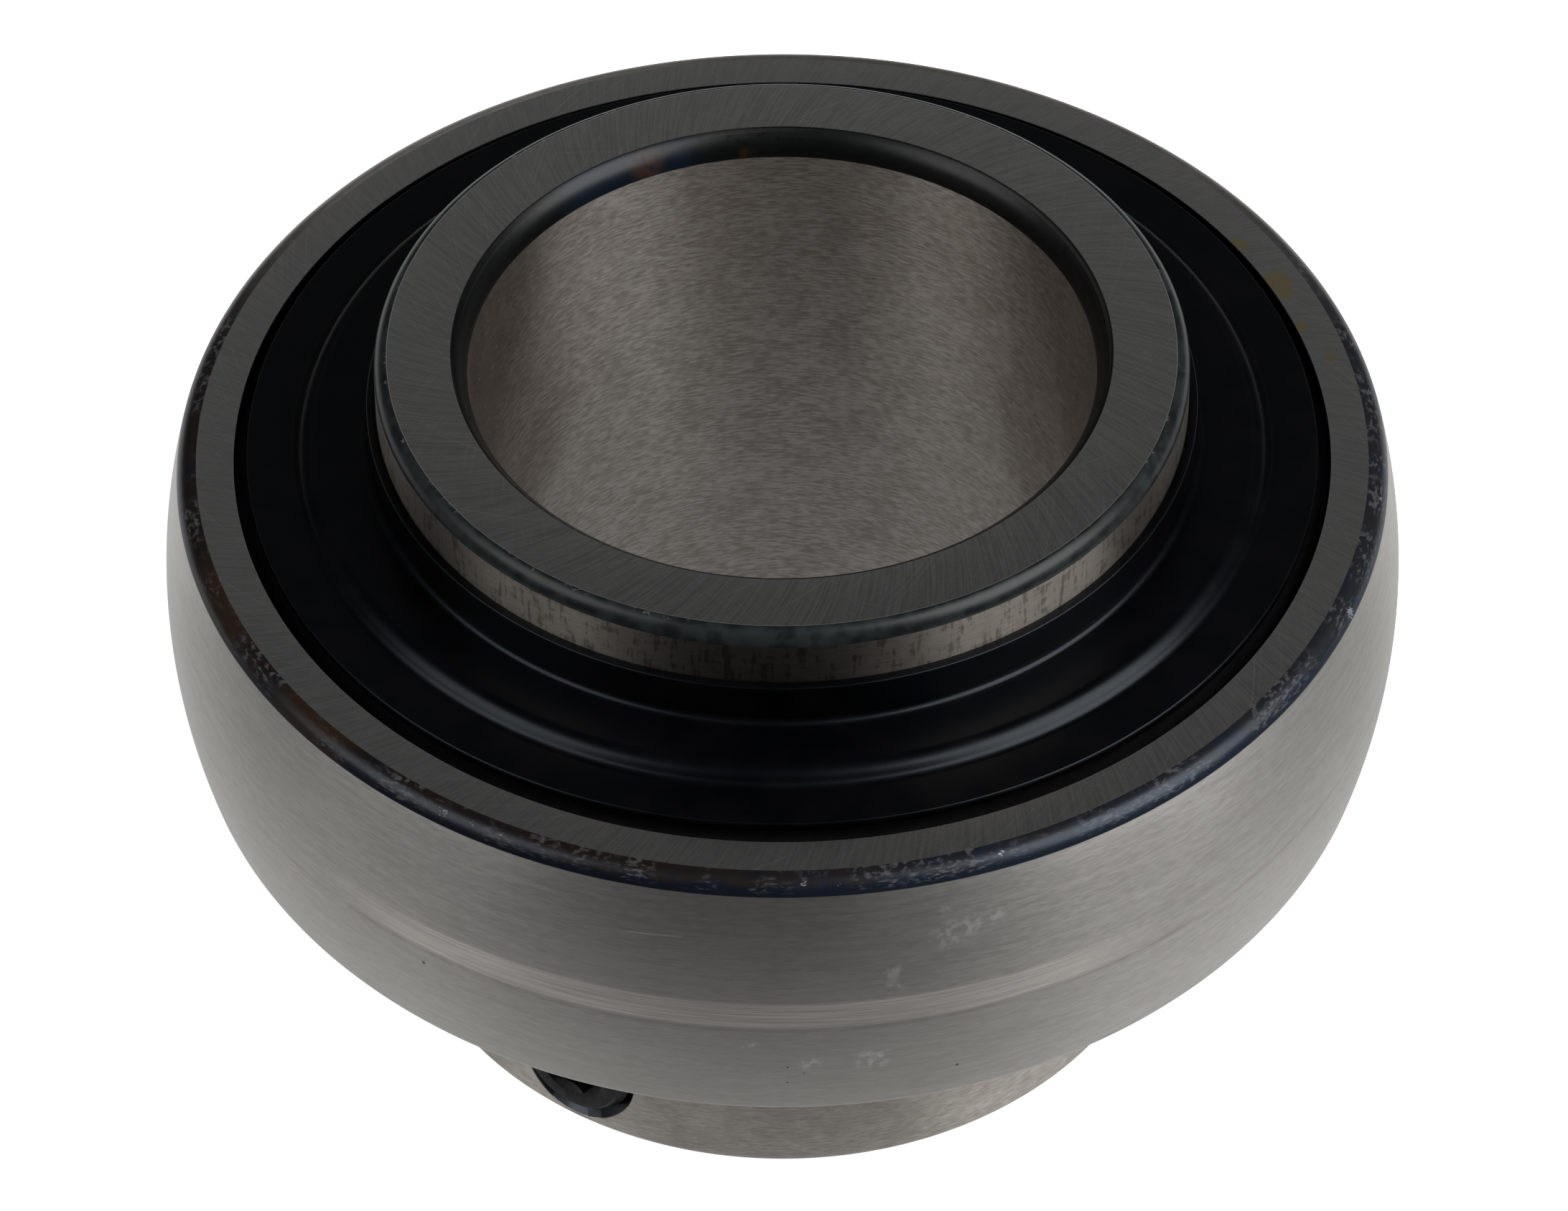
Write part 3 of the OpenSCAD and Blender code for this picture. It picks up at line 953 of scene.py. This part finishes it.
# %% Corners of the inner ring
rim_mottle = tube.spots(1.1, 3.0)
rim_colour = tube.blend(
    rim_mottle.rises(0.35, 0.65), colour(0.005, 0.0065, 0.007), colour(0.012, 0.016, 0.016)
)
rim_chips = tube.radius.falls(25.2, 25.4) * tube.spots(0.4, 3.0).rises(0.58, 0.70)
rim_chips = rim_chips * tube.spots(6.0).rises(0.48, 0.60)
rim_colour = tube.blend(rim_chips * 0.7, rim_colour, colour(0.16, 0.16, 0.155))
bore_side = tube.radius.falls(22.5, 23)
temper_blue = tube.near_any((((-7.6, 19.0, 17.4), 3.4), ((-12.0, 16.6, 17.8), 4.5)))
temper_gold = tube.near_any((((-8.9, 18.6, 17.9), 1.7), ((-2.2, 20.4, 17.4), 1.0)))
temper_gold = temper_gold * tube.spots(1.2, 3.0).rises(0.30, 0.55)
turned_lines = tube.noise(tube.vector(tube.radius / 0.16, tube.x / 30, tube.y / 30), 2.0)
ridges = tube.radius.rises(bore_r + 0.45, bore_r + 0.95) * turned_lines.rises(0.45, 0.62)
bore_black = tube.blend(ridges * 0.6, colour(0.0015, 0.002, 0.002), colour(0.035, 0.034, 0.032))
corner_colour = tube.blend(bore_side, rim_colour, bore_black)
corner_colour = tube.blend(temper_blue * 0.6, corner_colour, colour(0.002, 0.008, 0.018))
corner_colour = tube.blend(temper_gold * 0.6, corner_colour, colour(0.045, 0.018, 0.006))
tube_corner_skin = tube.skin(
    Base_Color=corner_colour,
    Metallic=rim_chips * 0.4,
    Roughness=0.28 + rim_mottle * 0.12,
    Specular_IOR_Level=0.22,
    Normal=tube.bump(rim_mottle, 0.1, 0.01),
)
print("inner ring's corners are ready")

# %% [markdown]
# Both ends of the ring have the same corners, so the masks ask how far a point is from the nearer
# face. That is the smaller of two distances, which one Math node gives.

# %% The inner ring puts its finish on
from_face = (short_side - tube.height).maths("MINIMUM", tube.height + long_side)
on_tube_face = tube.radius.between(bore_stop, rim_start, FACE_EDGE) * from_face.falls(
    FACE_EDGE, 2 * FACE_EDGE
)
at_rim = tube.radius.rises(rim_start - FACE_EDGE, rim_start) * tube.height.rises(
    short_side - rim_corner[1], short_side - rim_corner[1] + FACE_EDGE
)
at_bore = tube.radius.falls(bore_stop, bore_stop + FACE_EDGE) * from_face.falls(
    bore_corner[1] - 2 * FACE_EDGE, bore_corner[1]
)
tube_shader = tube.mix(on_tube_face, tube_wall_skin, tube_face_skin)
tube_shader = tube.mix(at_rim + at_bore, tube_shader, tube_corner_skin)
tube.put_on([inner_ring], tube_shader)

# %% [markdown]
# ## Black oxide
#
# The flingers and the grub screws are blackened. The oxide is a thin dark skin that reflects
# little, with a blue cast where it catches the light. Each screw is painted darkest below its
# outer end, in its socket and thread: painted shade in those recesses.

# %% Finish of the flingers and screws
black = Finish("black oxide sheet")
black_cloud = black.spots(3.0, 4.0)
oxide = black.blend(
    black_cloud.rises(0.35, 0.65), colour(0.0003, 0.0004, 0.0007), colour(0.0011, 0.0010, 0.0014)
)
black.put_on(
    [bpy.data.objects["upper_flinger_pressed"], bpy.data.objects["lower_flinger_pressed"]],
    black.skin(
        Base_Color=oxide,
        Roughness=0.26 + black_cloud * 0.1,
        Specular_IOR_Level=0.17,
        Specular_Tint=colour(0.78, 0.88, 1.0),
        Normal=black.bump(black_cloud, 0.1, 0.01),
    ),
)

pin = Finish("black oxide screw")
pin_cloud = pin.spots(0.5, 4.0)
pin_colour = pin.blend(
    pin_cloud.rises(0.35, 0.65), colour(0.008, 0.008, 0.009), colour(0.022, 0.022, 0.024)
)
# Painted shade: near black below the screw's outer end, in the socket and along the thread.
painted_socket_shade = pin.radius.falls(screw_end - 0.9, screw_end - 0.1)
pin_colour = pin.blend(painted_socket_shade * 0.9, pin_colour, colour(0.001, 0.001, 0.001))
pin.put_on(
    [screw, second],
    pin.skin(
        Base_Color=pin_colour,
        Metallic=0.4 * (1 - painted_socket_shade),
        Roughness=0.38 + pin_cloud * 0.2,
        Specular_IOR_Level=0.2,
        Normal=pin.bump(pin_cloud, 0.3, 0.01),
    ),
)

# %% [markdown]
# ## What is inside
#
# The balls, cage and seals keep their CAD shapes. They hardly show from outside, but they get
# their own finishes: lapped steel, glass-filled polymer, dark sheet and moulded rubber. The seal
# plates' sheet is near black, partly its own dark colour and partly painted shade in the gap
# round the flinger.

# %% Finishes of the balls, cage and seals
lapped = Finish("lapped ball steel")
haze = lapped.spots(1.5)
lapped_skin = lapped.skin(
    Base_Color=lapped.blend(haze, colour(0.70, 0.70, 0.71), colour(0.78, 0.78, 0.79)),
    Metallic=1.0,
    Roughness=0.05 + haze * 0.06,
)

polymer = Finish("glass-filled polymer")
fibres = polymer.spots(0.35, 4.0)
polymer_skin = polymer.skin(
    Base_Color=polymer.blend(fibres, colour(0.035, 0.034, 0.032), colour(0.075, 0.073, 0.07)),
    Roughness=0.45 + fibres * 0.2,
    Normal=polymer.bump(fibres, 0.3, 0.02),
)

# The plate's near-black colour is partly the sheet's own and partly painted shade in the gap.
pressed = Finish("pressed sheet steel")
roll_marks = pressed.spots(0.9, 3.0)
plate_skin_with_painted_shade = pressed.skin(
    Base_Color=pressed.blend(
        roll_marks, colour(0.003, 0.003, 0.0035), colour(0.008, 0.008, 0.0085)
    ),
    Specular_IOR_Level=0.15,
    Roughness=0.4 + roll_marks * 0.15,
)

rubber = Finish("moulded nitrile rubber")
moulded = rubber.spots(0.25, 3.0)
rubber_skin = rubber.skin(
    Base_Color=rubber.blend(moulded, colour(0.010, 0.010, 0.011), colour(0.020, 0.020, 0.021)),
    Roughness=0.55 + moulded * 0.15,
    Normal=rubber.bump(moulded, 0.25, 0.015),
)

for finish, shader, names in (
    (lapped, lapped_skin, ["ball_%d" % number for number in range(1, 10)]),
    (polymer, polymer_skin, ["cage"]),
    (pressed, plate_skin_with_painted_shade, ["upper_seal_plate", "lower_seal_plate"]),
    (rubber, rubber_skin, ["upper_seal_lip", "lower_seal_lip"]),
):
    finish.put_on([], shader)
    for name in names:
        for place in nodes[name].material_slots:
            place.material = finish.material

# %% [markdown]
# ## The table and the light
#
# The photograph's ground is pure white. The floor is a pale matt disc that adds its own light for
# the camera, so that it reads as white and still keeps the bearing's soft shadow. In the steel
# the same floor shows darker: towards the camera, where no lamp stands, away from the bearing,
# and under its bore.

# %% Floor
bpy.ops.object.select_all(action="DESELECT")
floor_r = 0.9
bpy.ops.mesh.primitive_circle_add(vertices=128, radius=floor_r, fill_type="NGON")
floor = bpy.context.object
floor.name = "floor"

table = Finish("pale table")
to_eye = table.node("ShaderNodeLightPath", output="Is Camera Ray")
gloss = table.node("ShaderNodeLightPath", output="Is Glossy Ray")
through = table.node("ShaderNodeLightPath", output="Is Transmission Ray")
to_back = 0.16 + table.y.rises(-110, 60) * 0.75
nearby = 1 - table.radius.rises(42, 110) * table.y.falls(15, 55) * 0.6
under_bore = 0.3 + table.radius.rises(bore_r, inner_r) * 0.7
mirrored_level = to_back * nearby * under_bore
matt = table.node("ShaderNodeBsdfDiffuse", {}, {"Color": colour(0.8, 0.8, 0.8)})
glow = table.node("ShaderNodeEmission", {}, {"Color": colour(1, 1, 1), "Strength": 0.80})
lit = table.node("ShaderNodeAddShader", {}, {0: matt, 1: glow})
mirrored = table.blend(mirrored_level, colour(0, 0, 0), colour(1, 1, 1))
plain = table.node("ShaderNodeEmission", {}, {"Color": mirrored, "Strength": 1.0})
seen = table.mix(to_eye, matt, lit)
table.put_on([floor], table.mix(gloss.maths("MAXIMUM", through), seen, plain))

# %% [markdown]
# The world is dim, so that black sheet stays black. One soft patch, high at the back, is what the
# flat faces mirror, and a fainter one low at each side lights the rings at their left and right.
# Only the camera sees the world white. Two square lamps give the soft upright bands on the steel,
# and the right one is the stronger.

# %% World and lamps
world = bpy.data.worlds.new("studio")
bpy.context.scene.world = world
world.use_nodes = True
studio = Graph(world.node_tree)
towards = studio.node("ShaderNodeTexCoord", output="Generated")
sideways = abs(studio.part(towards, "X"))
up = studio.part(towards, "Z")
back = studio.part(towards, "Y")
level = 0.04 + back.rises(0.45, 0.75) * up.between(0.52, 0.68, 0.09) * 0.19
level = level + sideways.rises(0.5, 1.0) * up.falls(0.1, 0.6) * back.falls(-0.2, 0.2) * 0.15
grey = studio.blend(level, colour(0, 0, 0), colour(1, 1, 1))
surround = studio.node("ShaderNodeBackground", {}, {"Color": grey, "Strength": 1.0})
white = studio.node("ShaderNodeBackground", {}, {"Color": colour(1, 1, 1), "Strength": 1.0})
sky = studio.mix(studio.node("ShaderNodeLightPath", output="Is Camera Ray"), surround, white)
studio.node("ShaderNodeOutputWorld", {}, {"Surface": sky})


def softbox(name, turn, rise, away, size, power):
    """A square lamp that looks at the bearing: its turn and rise are in degrees."""
    across = math.radians(turn)
    lift = math.radians(rise)
    flat = away * math.cos(lift)
    place = (flat * math.cos(across), flat * math.sin(across), away * math.sin(lift))
    bpy.ops.object.light_add(type="AREA", location=place)
    lamp = bpy.context.object
    lamp.name = name
    lamp.data.size = size
    lamp.data.energy = power
    lamp.rotation_euler = (math.pi / 2 - lift, 0, across + math.pi / 2)
    return lamp


softbox("right softbox", turn=-25, rise=42, away=0.55, size=0.42, power=3.8)
softbox("left softbox", turn=-155, rise=42, away=0.55, size=0.34, power=1.3)

# %% [markdown]
# ## The camera
#
# The camera was worked out by laying projected circles over ten edges in the photograph. It
# stands half a metre from the bearing, about 45 degrees up, with a long lens.

# %% Camera
PHOTO_WIDTH = 2184
SENSOR_WIDTH = 36
focal_pixels = 10757.77
camera_away = 0.5029
camera_up = math.radians(44.5677)
camera_pitch = math.radians(44.9087)
camera_yaw = math.radians(0.0127)
camera_roll = math.radians(-0.1917)

bpy.ops.object.camera_add()
camera = bpy.context.object
camera.name = "camera"
camera.data.sensor_fit = "HORIZONTAL"
camera.data.sensor_width = SENSOR_WIDTH
camera.data.lens = focal_pixels / PHOTO_WIDTH * SENSOR_WIDTH
camera.data.clip_end = 10
aim = Matrix.Rotation(-camera_yaw, 4, "Z")
aim = aim @ Matrix.Rotation(math.pi / 2 - camera_pitch, 4, "X")
aim = aim @ Matrix.Rotation(camera_roll, 4, "Z")
stand = Matrix.Translation((
    0,
    -camera_away * math.cos(camera_up),
    ball_plane * MM + camera_away * math.sin(camera_up),
))
camera.matrix_world = stand @ aim
bpy.context.scene.camera = camera
bpy.context.scene.view_settings.view_transform = "Standard"
print("lens", round(camera.data.lens, 2), "mm")
